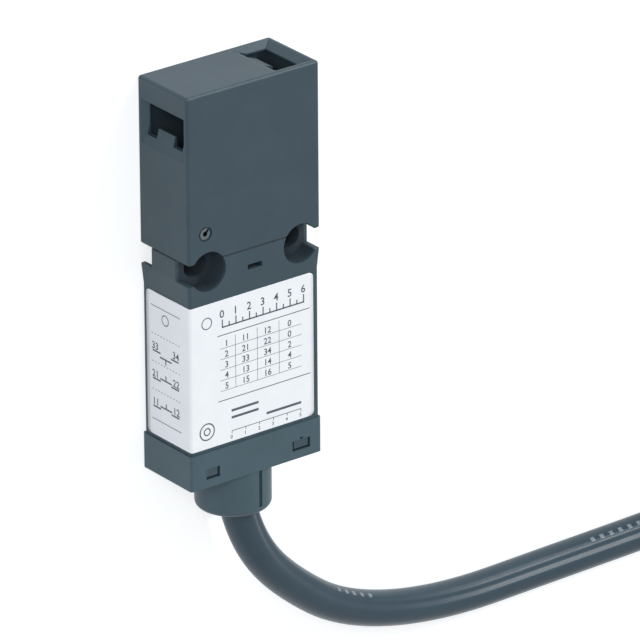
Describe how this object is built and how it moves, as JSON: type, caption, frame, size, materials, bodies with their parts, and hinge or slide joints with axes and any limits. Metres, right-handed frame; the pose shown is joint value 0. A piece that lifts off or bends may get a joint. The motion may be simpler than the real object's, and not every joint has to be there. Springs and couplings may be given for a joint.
{
  "type": "tongue interlock switch",
  "caption": "Slim guard-door interlock switch with a keyed head, a mounting waist, a plain rectangular body and a cable that leaves a boss at the end.",
  "frame": {"origin": "on the back face, midway between the two mounting slots", "axes": "+Z leaves the front face, +Y runs from the cable end to the head, +X is to the right seen from the front"},
  "size_m": [0.2167, 0.1279, 0.0156],
  "materials": {
    "housing_plastic": "fine-grained moulded slate-grey plastic",
    "pin_steel": "bright rolled steel",
    "cam_plastic": "black glass-filled plastic",
    "carrier_plastic": "black glass-filled plastic",
    "shaft_steel": "ground steel",
    "plunger_plastic": "natural acetal",
    "seal_rubber": "smooth black rubber",
    "keeper_steel": "zinc-plated steel",
    "block_plastic": "off-white moulded plastic",
    "terminal_brass": "stamped brass",
    "contact_silver": "silver contact rivets",
    "bridge_bronze": "spring bronze strip",
    "spring_steel": "drawn spring wire",
    "bush_rubber": "moulded black rubber",
    "label_film": "satin white film",
    "core_insulation": "coloured core insulation",
    "cable_pvc": "smooth dark grey sheath",
    "tie_nylon": "black nylon",
    "tinned_copper": "tinned copper strands"
  },
  "bodies": {
    "switch": {"head_housing": "housing_plastic", "head_pin": "pin_steel", "cam_carrier": "carrier_plastic", "cam_shaft": "shaft_steel", "body_case": "housing_plastic", "plunger_seal": "seal_rubber", "seal_keeper": "keeper_steel", "contact_block": "block_plastic", "nc_terminals": "terminal_brass", "no_terminals": "terminal_brass", "fixed_contact_tips": "contact_silver", "return_spring": "spring_steel", "bottom_cap": "housing_plastic", "cap_gasket": "seal_rubber", "cable_bush": "bush_rubber", "strain_relief_collar": "keeper_steel", "rating_label": "label_film", "core_wires": "core_insulation", "cable_sheath": "cable_pvc", "cable_coil": "cable_pvc", "cable_tie": "tie_nylon", "stripped_cores": "core_insulation", "core_ends": "tinned_copper"},
    "cam": {"operating_cam": "cam_plastic"},
    "plunger": {"plunger": "plunger_plastic", "contact_bridges": "bridge_bronze", "bridge_contact_tips": "contact_silver", "contact_springs": "spring_steel"}
  },
  "joints": [
    {"name": "cam_turn", "type": "hinge", "parent": "switch", "child": "cam", "pos_m": [0.0023, 0.0199, 0.0075], "axis": [0, 0, -1], "range_deg": [0, 70]},
    {"name": "plunger_slide", "type": "slide", "parent": "switch", "child": "plunger", "axis": [0, 1, 0], "range_m": [0, 0.0024], "deforming": ["return_spring"]}
  ],
  "couplings": [
    {"joint": "cam_turn", "follows": "plunger_slide", "rad_per_m": 509}
  ]
}
